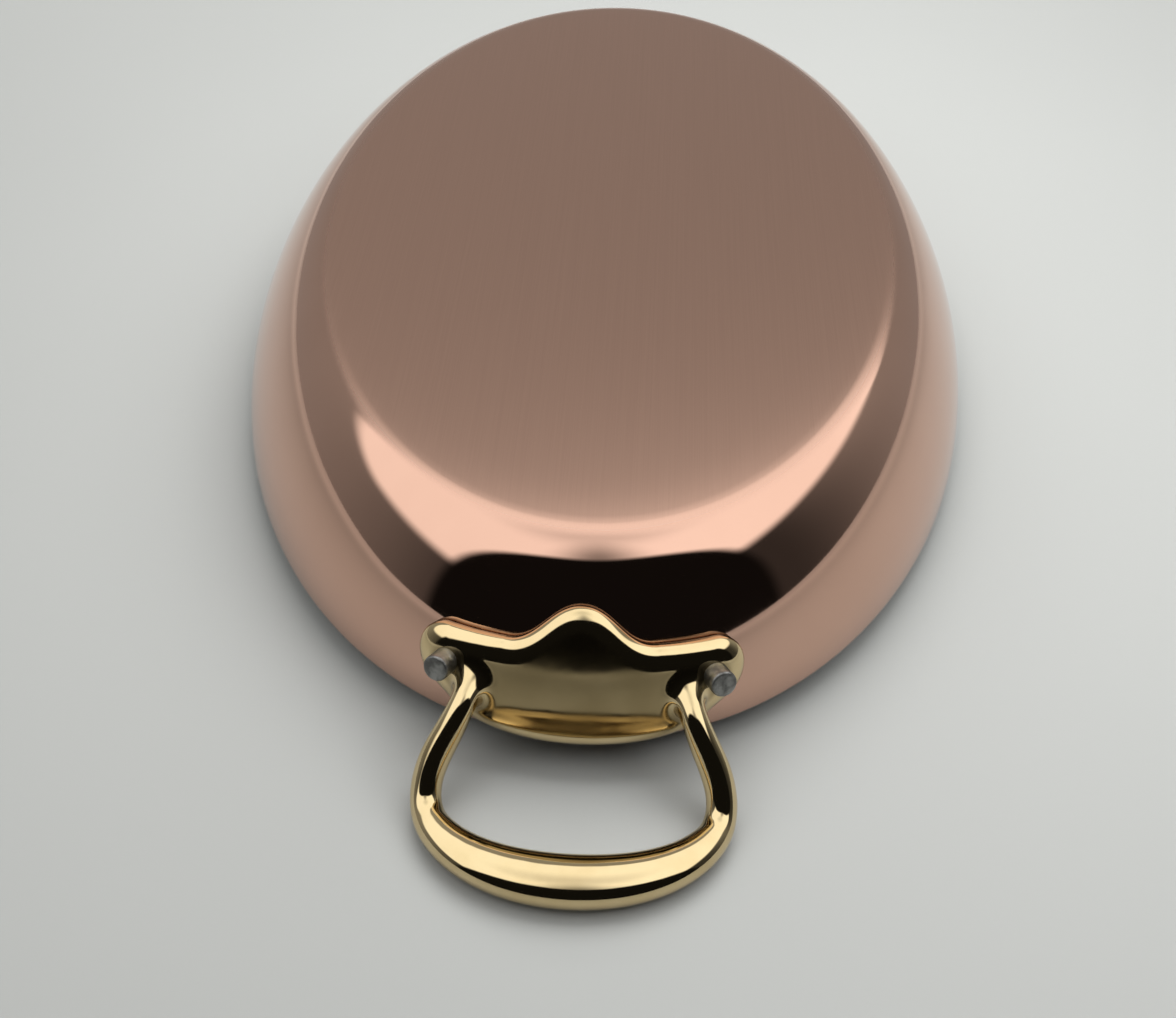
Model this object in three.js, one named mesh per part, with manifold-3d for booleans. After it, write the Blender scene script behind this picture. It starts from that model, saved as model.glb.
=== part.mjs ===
// Oval gratin dish lying upside down on its rim, in millimetres.
// +Z is up, the rim plane is z = 0 and the base is on top; the long axis runs along Y.
import * as THREE from "three";
import { mergeVertices } from "three/addons/utils/BufferGeometryUtils.js";
import Module from "manifold-3d";

const wasm = await Module();
wasm.setup();

// Dish shell: copper outside, steel lining inside.
const RIM_LENGTH = 300;
const RIM_WIDTH = 204;
const BODY_HEIGHT = 42;
// Plan distance from the rim edge to where the flat base starts.
const BASE_INSET = 27;
const RIM_LEAN = THREE.MathUtils.degToRad(2);
// Lengths of the wall curve's two handles: up from the rim, and out from the flat base.
const RIM_CURVE = 17.5;
const BASE_CURVE = 11;
const COPPER_THICKNESS = 1.6;
const LINING_THICKNESS = 0.4;
const BOND_GAP = 0.1;
// The lining stops this far above the rim edge, so that the edge is copper alone.
const LINING_STEP = 0.5;

// Handle plate, drawn as seen from outside the end of the dish: x across, height above the rim.
const SEAT_GAP = 0.3;
const PLATE_THICKNESS = 4.4;
const PLATE_BOTTOM = 2.5;
const PLATE_PEAK = 31.6;
const EAR_SPACING = 55.4;
const EAR_HEIGHT = 15.9;
const EAR_RADIUS = 7.1;
// Where the lens-shaped bottom edge runs into the round ear.
const EAR_START = THREE.MathUtils.degToRad(-60);
// The wavy top edge climbs from this valley to the peak.
const VALLEY_SPACING = 33;
const VALLEY_HEIGHT = 23.9;
// Lengths of the outline's curve handles: bottom edge, run into the ear, and wavy top.
const LENS_HANDLE = 25;
const EAR_HANDLE = 8;
const WAVE_HANDLE = 7;
// The front edge is rounded over: how far in from the outline, and how far down from the face.
const EDGE_ROUND = 4.4;
const EDGE_DROP = 2.8;

// Handle loop: two round bars that leave the plate level, bend down and widen into an oval grip.
const LOOP_HEIGHT = 15;
const LOOP_REACH = 34.4;
const LOOP_WIDTH = 64.1;
const ROOT_SPACING = 47.1;
// Distance from the end of the rim to the widest part of the loop.
const LOOP_SHOULDER = 15.2;
// Lengths of the loop's curve handles, in plan.
const GRIP_HANDLE = 20.6;
const SHOULDER_OUTWARDS = 8.4;
const SHOULDER_INWARDS = 7;
const ROOT_HANDLE = 11.5;
// The bars bend down between these distances from the end of the rim.
const BEND_START = -4;
const BEND_END = 22;
// The bars taper from the shoulder to halfway along.
const BAR_DIAMETER = 5.8;
const SHOULDER_DIAMETER = 6.8;
const GRIP_WIDTH = 11.8;
const GRIP_THICKNESS = 9;
// The dish lies upside down on its two grips, which are level and hold the rim this far off the table.
const RIM_LIFT = 6.5;
// How much wider the bars are where they grow out of the plate, and how far that flare runs.
const ROOT_FLARE = 3.6;
const FLARE_LENGTH = 9;
// Squareness of the grip's section: 2 is an ellipse.
const GRIP_SQUARENESS = 2.2;

// Rivets, one in each ear: domed head inside on the lining, plain stub outside.
const RIVET_ABOVE_EAR = 0.6;
const RIVET_DIAMETER = 6;
const RIVET_CLEARANCE = 0.2;
const RIVET_STUB = 4.7;
const STUB_EDGE = 0.7;
const HEAD_DIAMETER = 10;
const HEAD_HEIGHT = 1.8;
const HEAD_LAND = 0.5;
// The head's flat seat stands off the hollow lining by this much.
const HEAD_SEAT = 0.4;
// The hole cutters run past the wall and the plate by this much.
const HOLE_PASS = 6;

// Facets.
const OVAL_STEPS = 80;
const WALL_STEPS = 10;
const PLATE_STEPS = 34;
const FACE_RINGS = 3;
const ROUND_STEPS = 4;
const BAR_STEPS = 9;
const GRIP_STEPS = 9;
const SECTION_STEPS = 16;
const RIVET_STEPS = 18;
const DOME_STEPS = 3;
const WELD = 1e-4;
const HALVINGS = 40;

const halfLength = RIM_LENGTH / 2;
const halfWidth = RIM_WIDTH / 2;
const wallStack = COPPER_THICKNESS + BOND_GAP + LINING_THICKNESS;

const paint = (color, roughness) =>
  new THREE.MeshStandardMaterial({ color, roughness, metalness: 1 });
const COPPER = paint(0xb5765c, 0.25);
const STEEL = paint(0xb9bcbd, 0.35);
const BRASS = paint(0xc9a45a, 0.15);
const RIVET_STEEL = paint(0x8e8f8c, 0.4);

// A closed skin over rings of points. The rings turn anticlockwise as seen from beyond the first pole.
function skin(rings, firstPole, lastPole) {
  const count = rings[0].length;
  const points = [...rings.flat(), firstPole, lastPole];
  const first = points.length - 2;
  const last = points.length - 1;
  const faces = [];
  for (let j = 0; j < count; j++) {
    const next = (j + 1) % count;
    faces.push(first, j, next);
    for (let i = 0; i + 1 < rings.length; i++) {
      const here = i * count;
      const below = here + count;
      faces.push(here + j, below + j, below + next);
      faces.push(here + j, below + next, here + next);
    }
    const end = (rings.length - 1) * count;
    faces.push(last, end + next, end + j);
  }
  const geometry = new THREE.BufferGeometry().setFromPoints(points);
  geometry.setIndex(faces);
  return geometry;
}

function solidFrom(geometry) {
  const merged = mergeVertices(geometry, WELD);
  const mesh = new wasm.Mesh({
    numProp: 3,
    vertProperties: merged.attributes.position.array,
    triVerts: new Uint32Array(merged.index.array),
  });
  return new wasm.Manifold(mesh);
}

function geometryFrom(solid) {
  const mesh = solid.getMesh();
  const geometry = new THREE.BufferGeometry();
  geometry.setAttribute("position", new THREE.BufferAttribute(mesh.vertProperties, 3));
  geometry.setIndex(new THREE.BufferAttribute(mesh.triVerts, 1));
  geometry.computeVertexNormals();
  return geometry;
}

// Outside of the wall in section: x is the inset from the rim edge, y the height above the rim.
const wall = new THREE.CubicBezierCurve(
  new THREE.Vector2(0, 0),
  new THREE.Vector2(RIM_CURVE * Math.sin(RIM_LEAN), RIM_CURVE * Math.cos(RIM_LEAN)),
  new THREE.Vector2(BASE_INSET - BASE_CURVE, BODY_HEIGHT),
  new THREE.Vector2(BASE_INSET, BODY_HEIGHT),
);

// The wall's section from base to rim, moved inwards by a depth and cut off at a height.
function wallSection(depth, lowest) {
  const section = [];
  for (let i = WALL_STEPS; i >= 0; i--) {
    const point = wall.getPoint(i / WALL_STEPS);
    const along = wall.getTangent(i / WALL_STEPS);
    const inwards = new THREE.Vector2(along.y, -along.x);
    point.addScaledVector(inwards, depth);
    point.y = i === 0 ? lowest : Math.max(point.y, lowest);
    section.push(point);
  }
  return section;
}

function ovalRing({ x: inset, y: height }) {
  const ring = [];
  for (let j = 0; j < OVAL_STEPS; j++) {
    const turn = (2 * Math.PI * j) / OVAL_STEPS;
    const x = (halfWidth - inset) * Math.cos(turn);
    const y = (halfLength - inset) * Math.sin(turn);
    ring.push(new THREE.Vector3(x, y, height));
  }
  return ring;
}

// An open oval shell between two depths below the outer surface.
function ovalShell(outerDepth, innerDepth, lowest) {
  const outer = wallSection(outerDepth, lowest);
  const inner = wallSection(innerDepth, lowest).reverse();
  const rings = [...outer, ...inner].map(ovalRing);
  const top = new THREE.Vector3(0, 0, BODY_HEIGHT - outerDepth);
  const under = new THREE.Vector3(0, 0, BODY_HEIGHT - innerDepth);
  return skin(rings, top, under);
}

// Place and outward normal on the wall at the -Y end, for a distance x across and a height.
function wallFrame(x, height) {
  let low = 0;
  let high = 1;
  for (let i = 0; i < HALVINGS; i++) {
    const middle = (low + high) / 2;
    if (wall.getPoint(middle).y < height) low = middle;
    else high = middle;
  }
  const inset = wall.getPoint(low).x;
  const along = wall.getTangent(low);
  const across = halfWidth - inset;
  const reach = halfLength - inset;
  const y = -reach * Math.sqrt(Math.max(0, 1 - (x / across) ** 2));
  const lean = along.x / Math.max(along.y, WELD);
  const rise = lean * (x ** 2 / across ** 3 + y ** 2 / reach ** 3);
  const normal = new THREE.Vector3(x / across ** 2, y / reach ** 2, rise).normalize();
  return { point: new THREE.Vector3(x, y, height), normal };
}

function onWall(x, height, lift) {
  const { point, normal } = wallFrame(x, height);
  return point.addScaledVector(normal, lift);
}

// Outline of the plate, anticlockwise from its bottom middle: lens edge, round ear, wavy top.
function plateOutline() {
  const earX = EAR_SPACING / 2;
  const valleyX = VALLEY_SPACING / 2;
  const spoke = new THREE.Vector2(Math.cos(EAR_START), Math.sin(EAR_START));
  const earLow = new THREE.Vector2(earX, EAR_HEIGHT).addScaledVector(spoke, EAR_RADIUS);
  const runIn = new THREE.Vector2(spoke.y, -spoke.x).multiplyScalar(EAR_HANDLE).add(earLow);
  const half = new THREE.Path();
  half.moveTo(0, PLATE_BOTTOM);
  half.bezierCurveTo(LENS_HANDLE, PLATE_BOTTOM, runIn.x, runIn.y, earLow.x, earLow.y);
  half.absarc(earX, EAR_HEIGHT, EAR_RADIUS, EAR_START, Math.PI / 2, false);
  half.lineTo(valleyX, VALLEY_HEIGHT);
  half.bezierCurveTo(valleyX - WAVE_HANDLE, VALLEY_HEIGHT, WAVE_HANDLE, PLATE_PEAK, 0, PLATE_PEAK);
  const right = half.getSpacedPoints(PLATE_STEPS);
  const left = right.slice(1, -1).reverse().map((p) => new THREE.Vector2(-p.x, p.y));
  return [...right, ...left];
}

// The outline moved inwards along its own normals.
function insetOutline(outline, inset) {
  const count = outline.length;
  return outline.map((point, i) => {
    const before = outline[(i + count - 1) % count];
    const after = outline[(i + 1) % count];
    const along = after.clone().sub(before).normalize();
    return new THREE.Vector2(point.x - along.y * inset, point.y + along.x * inset);
  });
}

// Lift of the plate's face above the wall.
const faceLift = SEAT_GAP + PLATE_THICKNESS;

// The cast plate: its outline wrapped on the wall, with a rounded front edge.
function plateSolid() {
  const outline = plateOutline();
  const centre = new THREE.Vector2(0, (PLATE_BOTTOM + PLATE_PEAK) / 2);
  const wrapFace = (flat, drop) => flat.map((p) => onWall(p.x, p.y, faceLift - drop));
  const wrapBack = (flat) => flat.map((p) => onWall(p.x, p.y, SEAT_GAP));
  const shrink = (flat, share) => flat.map((p) => p.clone().lerp(centre, 1 - share));
  const face = insetOutline(outline, EDGE_ROUND);
  const shares = Array.from({ length: FACE_RINGS }, (_, i) => (i + 1) / (FACE_RINGS + 1));
  const rings = shares.map((share) => wrapFace(shrink(face, share), 0));
  for (let i = 0; i <= ROUND_STEPS; i++) {
    const turn = (Math.PI / 2) * (i / ROUND_STEPS);
    const inset = EDGE_ROUND * (1 - Math.sin(turn));
    rings.push(wrapFace(insetOutline(outline, inset), EDGE_DROP * (1 - Math.cos(turn))));
  }
  rings.push(wrapBack(outline));
  shares.reverse().forEach((share) => rings.push(wrapBack(shrink(outline, share))));
  const frontPole = onWall(centre.x, centre.y, faceLift);
  const backPole = onWall(centre.x, centre.y, SEAT_GAP);
  return solidFrom(skin(rings, frontPole, backPole));
}

const smooth = (share) => share * share * (3 - 2 * share);
const smoother = (share) => share ** 3 * (10 - 15 * share + 6 * share ** 2);

// The loop lies on a bent sheet: level at the plate, down along the bars, and level again at the grip.
const lowHeight = SHOULDER_DIAMETER / 2 - RIM_LIFT;

function onLoop(x, out, up) {
  const bend = THREE.MathUtils.clamp((out - BEND_START) / (BEND_END - BEND_START), 0, 1);
  const drop = LOOP_HEIGHT - lowHeight;
  const slope = (drop * 30 * (bend * (1 - bend)) ** 2) / (BEND_END - BEND_START);
  const tilt = Math.atan(slope);
  const y = -halfLength - out - up * Math.sin(tilt);
  const z = LOOP_HEIGHT - drop * smoother(bend) + up * Math.cos(tilt);
  return new THREE.Vector3(x, y, z);
}

// Stations from the middle of the grip to the right-hand root: place, direction and half sizes.
function loopStations() {
  const rootX = ROOT_SPACING / 2;
  const wideX = LOOP_WIDTH / 2;
  const insidePlate = onWall(rootX, LOOP_HEIGHT, faceLift / 2);
  const rootOut = -insidePlate.y - halfLength;
  const bar = new THREE.CubicBezierCurve(
    new THREE.Vector2(wideX, LOOP_SHOULDER),
    new THREE.Vector2(wideX, LOOP_SHOULDER - SHOULDER_INWARDS),
    new THREE.Vector2(rootX, rootOut + ROOT_HANDLE),
    new THREE.Vector2(rootX, rootOut),
  );
  const grip = new THREE.CubicBezierCurve(
    new THREE.Vector2(0, LOOP_REACH),
    new THREE.Vector2(GRIP_HANDLE, LOOP_REACH),
    new THREE.Vector2(wideX, LOOP_SHOULDER + SHOULDER_OUTWARDS),
    new THREE.Vector2(wideX, LOOP_SHOULDER),
  );
  const stations = [];
  for (let i = 0; i < GRIP_STEPS; i++) {
    const share = smooth(1 - i / GRIP_STEPS);
    stations.push({
      place: grip.getPoint(i / GRIP_STEPS),
      along: grip.getTangent(i / GRIP_STEPS),
      half: THREE.MathUtils.lerp(SHOULDER_DIAMETER, GRIP_WIDTH, share) / 2,
      thick: THREE.MathUtils.lerp(SHOULDER_DIAMETER, GRIP_THICKNESS, share) / 2,
      square: THREE.MathUtils.lerp(2, GRIP_SQUARENESS, share),
    });
  }
  const barLength = bar.getLength();
  for (let i = 0; i <= BAR_STEPS; i++) {
    const toRoot = barLength * (1 - i / BAR_STEPS);
    const flare = ROOT_FLARE * Math.max(0, 1 - toRoot / FLARE_LENGTH) ** 2;
    const taper = smooth(Math.min(1, (2 * i) / BAR_STEPS));
    const round = THREE.MathUtils.lerp(SHOULDER_DIAMETER, BAR_DIAMETER, taper);
    stations.push({
      place: bar.getPointAt(i / BAR_STEPS),
      along: bar.getTangentAt(i / BAR_STEPS),
      half: (round + flare) / 2,
      thick: (round + flare / 2) / 2,
      square: 2,
    });
  }
  return stations;
}

// A section of the loop. What the grip has in thickness over the bars is added on top.
function loopSection({ place, along, half, thick, square }) {
  const rise = Math.max(0, thick - SHOULDER_DIAMETER / 2);
  const ring = [];
  for (let j = 0; j < SECTION_STEPS; j++) {
    const turn = (2 * Math.PI * j) / SECTION_STEPS;
    const cos = Math.cos(turn);
    const sin = Math.sin(turn);
    const side = half * Math.sign(cos) * Math.abs(cos) ** (2 / square);
    const up = rise + thick * Math.sign(sin) * Math.abs(sin) ** (2 / square);
    ring.push(onLoop(place.x - along.y * side, place.y + along.x * side, up));
  }
  return ring;
}

// The loop is lofted from the left root over the grip to the right root.
function loopSolid() {
  const right = loopStations();
  const left = right.slice(1).reverse().map((station) => ({
    ...station,
    place: new THREE.Vector2(-station.place.x, station.place.y),
    along: new THREE.Vector2(station.along.x, -station.along.y),
  }));
  const stations = [...left, ...right];
  const pole = ({ place }) => onLoop(place.x, place.y, 0);
  return solidFrom(skin(stations.map(loopSection), pole(stations[0]), pole(stations.at(-1))));
}

// Rings of a round body on a rivet's axis: each entry is a radius and a height above the wall.
function onRivetAxis(side, profile) {
  const { point, normal } = wallFrame((side * EAR_SPACING) / 2, EAR_HEIGHT + RIVET_ABOVE_EAR);
  const across = new THREE.Vector3(0, 0, 1).cross(normal).normalize();
  const up = normal.clone().cross(across);
  const at = (height) => point.clone().addScaledVector(normal, height);
  const rings = profile.map(([radius, height]) => {
    const ring = [];
    for (let j = 0; j < RIVET_STEPS; j++) {
      const turn = (2 * Math.PI * j) / RIVET_STEPS;
      const spoke = at(height);
      spoke.addScaledVector(across, radius * Math.cos(turn));
      spoke.addScaledVector(up, radius * Math.sin(turn));
      ring.push(spoke);
    }
    return ring;
  });
  return { rings, at };
}

function rivetHole(side) {
  const radius = RIVET_DIAMETER / 2 + RIVET_CLEARANCE;
  const outside = faceLift + HOLE_PASS;
  const inside = -wallStack - HOLE_PASS;
  const { rings, at } = onRivetAxis(side, [[radius, outside], [radius, inside]]);
  return solidFrom(skin(rings, at(outside), at(inside)));
}

function rivetGeometry(side) {
  const shank = RIVET_DIAMETER / 2;
  const end = faceLift + RIVET_STUB;
  const seat = -wallStack - HEAD_SEAT;
  const head = HEAD_DIAMETER / 2;
  const dome = HEAD_HEIGHT - HEAD_LAND;
  const profile = [
    [shank - STUB_EDGE, end],
    [shank, end - STUB_EDGE],
    [shank, seat],
    [head, seat],
  ];
  for (let i = 0; i < DOME_STEPS; i++) {
    const turn = (Math.PI / 2) * (i / DOME_STEPS);
    profile.push([head * Math.cos(turn), seat - HEAD_LAND - dome * Math.sin(turn)]);
  }
  const { rings, at } = onRivetAxis(side, profile);
  return skin(rings, at(end), at(seat - HEAD_HEIGHT));
}

const SIDES = { left: -1, right: 1 };
const holes = Object.values(SIDES).map(rivetHole);
const frontHoles = holes[0].add(holes[1]);
const allHoles = frontHoles.add(frontHoles.rotate([0, 0, 180]));

const group = new THREE.Group();

function addPiece(name, geometry, material) {
  const mesh = new THREE.Mesh(geometry, material);
  mesh.name = name;
  mesh.position.z = RIM_LIFT;
  group.add(mesh);
  return mesh;
}

const copper = solidFrom(ovalShell(0, COPPER_THICKNESS, 0)).subtract(allHoles);
addPiece("copper_body", geometryFrom(copper), COPPER);

const lining = solidFrom(ovalShell(COPPER_THICKNESS + BOND_GAP, wallStack, LINING_STEP)).subtract(allHoles);
addPiece("steel_lining", geometryFrom(lining), STEEL);

// One casting and one pair of rivets at each end: the rear end is the front turned half round.
const casting = geometryFrom(plateSolid().add(loopSolid()).subtract(frontHoles));
addPiece("handle_front", casting, BRASS);
addPiece("handle_rear", casting, BRASS).rotation.z = Math.PI;
for (const [side, sign] of Object.entries(SIDES)) {
  addPiece("rivet_front_" + side, rivetGeometry(sign), RIVET_STEEL);
  addPiece("rivet_rear_" + side, rivetGeometry(-sign), RIVET_STEEL).rotation.z = Math.PI;
}

export default group;
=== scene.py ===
"""Looks of the oval gratin dish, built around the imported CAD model. Lengths are millimetres until a mesh is made."""
import math

import bpy
import numpy as np
from mathutils import Matrix, Vector


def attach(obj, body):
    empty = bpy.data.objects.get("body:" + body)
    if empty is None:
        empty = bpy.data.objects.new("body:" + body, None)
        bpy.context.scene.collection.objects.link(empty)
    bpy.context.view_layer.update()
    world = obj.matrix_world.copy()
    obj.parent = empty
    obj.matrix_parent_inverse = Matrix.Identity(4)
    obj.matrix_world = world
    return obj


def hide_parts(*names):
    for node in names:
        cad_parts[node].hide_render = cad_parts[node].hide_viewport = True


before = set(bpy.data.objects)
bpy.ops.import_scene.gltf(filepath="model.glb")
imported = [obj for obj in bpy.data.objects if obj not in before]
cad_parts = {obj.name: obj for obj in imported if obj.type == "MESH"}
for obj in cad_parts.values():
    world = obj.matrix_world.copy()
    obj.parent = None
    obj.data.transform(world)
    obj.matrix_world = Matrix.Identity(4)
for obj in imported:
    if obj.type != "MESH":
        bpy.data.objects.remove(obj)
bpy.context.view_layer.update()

MM = 0.001

# Dish, as in the CAD source.
HALF_LENGTH = 150.0
HALF_WIDTH = 102.0
HEIGHT = 42.0
BASE_INSET = 27.0
RIM_LEAN = math.radians(2)
RIM_CURVE = 17.5
BASE_CURVE = 11.0
COPPER = 1.6
LINING = 0.4
BOND_GAP = 0.1
LINING_STEP = 0.5
# The base falls away very slightly towards its edge.
CROWN_TILT = math.radians(1.2)
CROWN_REACH = 16.0
CROWN_FADE = 14.0
CROWN_RINGS = 8
CROWN_LAST_RING = 2.0
# Rounding of the two rim edges.
RIM_ROUND = 0.3
LINING_ROUND = 0.1
# Rings on a flat oval, as shares of its size.
FLAT_SHARES = np.linspace(0.04, 0.96, 12)

# Handle plate, as in the CAD source.
SEAT_GAP = 0.3
PLATE_THICKNESS = 4.4
FACE_LIFT = SEAT_GAP + PLATE_THICKNESS
PLATE_BOTTOM = 2.5
PLATE_PEAK = 31.6
EAR_SPACING = 55.4
EAR_HEIGHT = 15.9
EAR_RADIUS = 7.1
EAR_START = math.radians(-60)
VALLEY_SPACING = 33.0
VALLEY_HEIGHT = 23.9
LENS_HANDLE = 25.0
EAR_HANDLE = 8.0
WAVE_HANDLE = 7.0
EDGE_ROUND = 4.4
EDGE_DROP = 2.8
# The plate's bottom edge is crisper than the rest, and stands out a little.
LOW_ROUND = 3.4
LOW_DROP = 2.4
LOW_FROM = 5.0
LOW_TO = 13.0
FLARE = 0.5
FLARE_TO = 9.0

# Handle loop, as in the CAD source.
LOOP_HEIGHT = 15.0
LOOP_REACH = 34.4
LOOP_WIDTH = 64.1
ROOT_SPACING = 47.1
LOOP_SHOULDER = 15.2
GRIP_HANDLE = 20.6
SHOULDER_OUTWARDS = 8.4
SHOULDER_INWARDS = 7.0
ROOT_HANDLE = 11.5
BEND_START = -4.0
BEND_END = 22.0
BAR_DIAMETER = 5.8
SHOULDER_DIAMETER = 6.8
GRIP_WIDTH = 11.8
GRIP_THICKNESS = 9.0
RIM_LIFT = 6.5
GRIP_SQUARENESS = 2.2

# Blends of the casting that only the looks have.
ROOT_BLEND = 4.2
BACK_BLEND = 0.4

# The grid that the casting is found on: its box, its step, the coarse step in fine ones, and how many coarse steps
# round the surface are filled in.
CASTING_LOW = np.array([-39.0, -193.0, -8.0])
CASTING_HIGH = np.array([39.0, -132.0, 36.0])
VOXEL = 0.42
COARSE = 4
NEAR_STEPS = 2.4
# How the found points are put on the surface and spread along it.
SETTLE_PASSES = 3
SPREAD_STEPS = 4
SPREAD_SHARE = 0.5
LONGEST_MOVE = 0.3
GRADIENT_REACH = 0.04
# Search for the foot of a point on the wall: its range, and how often it is corrected.
FOOT_ACROSS = 60.0
FOOT_LOW = -8.0
FOOT_START = 0.2
FOOT_HIGH = 38.0
FOOT_STEPS = 7
# Search for the nearest place on the loop's bent sheet and on its curves: first tries, then corrections.
SHEET_TRIES = np.linspace(BEND_START - 12, BEND_END + 24, 60)
SHEET_STEPS = 5
CURVE_TRIES = np.linspace(0, 1, 25)
CURVE_STEPS = 6
LEAST_CHANGE = 0.3
SEARCH_CHUNK = 50000
# Points along the wall, and along each curve and line of the plate's outline.
WALL_POINTS = 2001
CURVE_POINTS = 120
LINE_POINTS = 30

# The satin middle of the plate's face, which is also painted darker as shade standing in for the shaded floor it
# reflects: where it starts, how it fades in, and how far it climbs the bars.
FACE_EDGE = 3.2
FACE_FADE = 1.6
FACE_RISE = 1.2
# Tarnish in the seam behind the plate, by distance off the wall.
SEAM_START = 0.7
SEAM_END = 2.0

# Rivets, as in the CAD source.
RIVET_ABOVE_EAR = 0.6
RIVET_RADIUS = 3.0
RIVET_STUB = 4.7
HEAD_RADIUS = 5.0
HEAD_HEIGHT = 1.8
HEAD_LAND = 0.5
HEAD_SEAT = 0.4
HEAD_ROUND = 0.15
# The stub's end is very slightly domed: radius and drop of the points on it, then its rounded edge.
STUB_DOME = ((0, 0), (0.9, 0.02), (1.7, 0.07))
STUB_DROP = 0.12
STUB_ROUND = 0.55
SHANK_TOP = 1.6
SHANK_FILLET = 0.02

# Copper colours and roughness: the mirror wall, the satin base and the height over which one becomes the other.
COPPER_DEEP = (0.585, 0.366, 0.278, 1)
COPPER_WALL = (0.615, 0.389, 0.297, 1)
COPPER_BASE = (0.61, 0.384, 0.293, 1)
WALL_ROUGHNESS = (0.035, 0.06)
BASE_ROUGHNESS = (0.289, 0.297)
SATIN_FROM = 1.25
SATIN_TO = 0.25
# Brass colours: polished, the duller face (painted darker as shade, for the shaded floor that it reflects), and the
# tarnish in the seam.
BRASS_LIGHT = (0.66, 0.528, 0.305, 1)
BRASS_DEEP = (0.61, 0.478, 0.262, 1)
SHADED_FACE_LIGHT = (0.335, 0.26, 0.14, 1)
SHADED_FACE_DEEP = (0.29, 0.222, 0.115, 1)
TARNISH = (0.2, 0.145, 0.085, 1)
TARNISH_ROUGHNESS = 0.35
RIVET_LIGHT = (0.29, 0.29, 0.278, 1)
RIVET_DARK = (0.15, 0.15, 0.143, 1)
STEEL_DEEP = (0.52, 0.53, 0.535, 1)
STEEL_LIGHT = (0.62, 0.63, 0.635, 1)

# Floor: its radius, its colours by the dish and far off, and the distances in metres between which it grows paler.
FLOOR_RADIUS = 2600
FLOOR_STEPS = 64
FLOOR_DEEP = (0.296, 0.302, 0.293, 1)
FLOOR_LIGHT = (0.304, 0.310, 0.301, 1)
FLOOR_FAR = (0.59, 0.60, 0.59, 1)
FLOOR_NEAR_END = 0.36
FLOOR_FAR_START = 0.85

# The tent round the scene, in degrees round from the back, to the right, and up from the floor. Where an entry has
# four numbers, they are two angles and the values at them.
OPENING_MIDDLE = math.radians(174.5)
OPENING_HALF_WIDTH = 63.0
OPENING_TOP = 58.0
OPENING_SHARPNESS = 3.0
OPENING_EDGE = (1.12, 0.88)
OPENING_LIGHT = 0.008
ROOF_EDGE_RIGHT = (-4.0, 47.0, 48.3, 31.0)
ROOF_EDGE_LEFT = (-31.0, -90.0, 49.0, 23.0)
ROOF_SOFTNESS = (25.0, 70.0, 1.5, 3.5)
ROOF_LIGHT = 1.57
ROOF_LIGHT_TO_RIGHT = 0.08
ROOF_SHADE_WIDTH = 40.0
ROOF_SHADE = (58.0, 88.0, 0.25, 1.0)
ROOF_TOP_SHADE = (64.0, 88.0, 1.0, 0.72)
WALL_LIGHT = 0.365
WALL_LIGHT_FRONT = 0.05
WALL_FADE_START = 50.0
WALL_FADE_END = 125.0
WALL_FADE_TO_RIGHT = -20.0
SEEN_LIGHT = 0.6
TENT_COLOR = (1.0, 0.995, 0.98, 1)

# Square lamps over the floor, in metres and watts: across, along and power.
LAMP_HEIGHT = 0.35
LAMP_SIZE = 0.3
LAMPS = {
    "upper_lamp": (0.05, 0.045, 1.6),
    "right_lamp": (0.36, -0.13, 0.7),
    "left_lamp": (-0.3, -0.2, 0.24),
    "back_right_lamp": (0.2, 0.4, 0.9),
    "back_left_lamp": (-0.25, 0.4, 0.95),
}

# Camera, fitted to the photograph: place off the middle of the rim plane, and turns in radians.
CAMERA_PLACE = (8.114, -335.694, 256.981)
CAMERA_YAW = -0.038057
CAMERA_PITCH = 0.781109
CAMERA_ROLL = 0.024739
SENSOR_WIDTH = 36
LENS = 42.857
NEAREST_SEEN = 0.01


class PlaneCurve:
    """A cubic curve in a plane."""

    def __init__(self, *points):
        self.points = [np.array(p, float) for p in points]

    def at(self, t):
        """Places on the curve, with their first and second slopes."""
        p0, p1, p2, p3 = self.points
        t = t[:, None]
        place = (1 - t) ** 3 * p0 + 3 * (1 - t) ** 2 * t * p1 + 3 * (1 - t) * t**2 * p2 + t**3 * p3
        slope = 3 * (1 - t) ** 2 * (p1 - p0) + 6 * (1 - t) * t * (p2 - p1) + 3 * t**2 * (p3 - p2)
        turn = 6 * (1 - t) * (p2 - 2 * p1 + p0) + 6 * t * (p3 - 2 * p2 + p1)
        return place, slope, turn

    def nearest(self, places):
        """Where on the curve the places' nearest points are."""
        t = CURVE_TRIES[nearest_samples(places, self.at(CURVE_TRIES)[0])]
        for _ in range(CURVE_STEPS):
            place, slope, turn = self.at(t)
            apart = place - places
            speed = np.einsum("ij,ij->i", slope, slope)
            change = speed + np.einsum("ij,ij->i", apart, turn)
            miss = np.einsum("ij,ij->i", apart, slope)
            t = np.clip(t - miss / np.maximum(change, LEAST_CHANGE * speed), 0, 1)
        return t


def nearest_samples(places, samples):
    """For each place in a plane, the number of the sample nearest to it."""
    found = np.zeros(len(places), int)
    for low in range(0, len(places), SEARCH_CHUNK):
        part = slice(low, low + SEARCH_CHUNK)
        gap = (places[part, None, 0] - samples[:, 0]) ** 2 + (places[part, None, 1] - samples[:, 1]) ** 2
        found[part] = gap.argmin(axis=1)
    return found


def bezier(p0, p1, p2, p3, count):
    """Points and directions along a cubic curve in a plane."""
    place, along, _ = PlaneCurve(p0, p1, p2, p3).at(np.linspace(0, 1, count))
    return place, along / np.linalg.norm(along, axis=1, keepdims=True)


def wall_curve(count):
    """Outside of the wall in section, from rim to base: inset from the rim edge and height."""
    return bezier(
        (0, 0),
        (RIM_CURVE * math.sin(RIM_LEAN), RIM_CURVE * math.cos(RIM_LEAN)),
        (BASE_INSET - BASE_CURVE, HEIGHT),
        (BASE_INSET, HEIGHT),
        count,
    )


def smooth_step(share):
    """0 to 1 with a soft start and end."""
    share = np.clip(share, 0, 1)
    return share * share * (3 - 2 * share)


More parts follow.
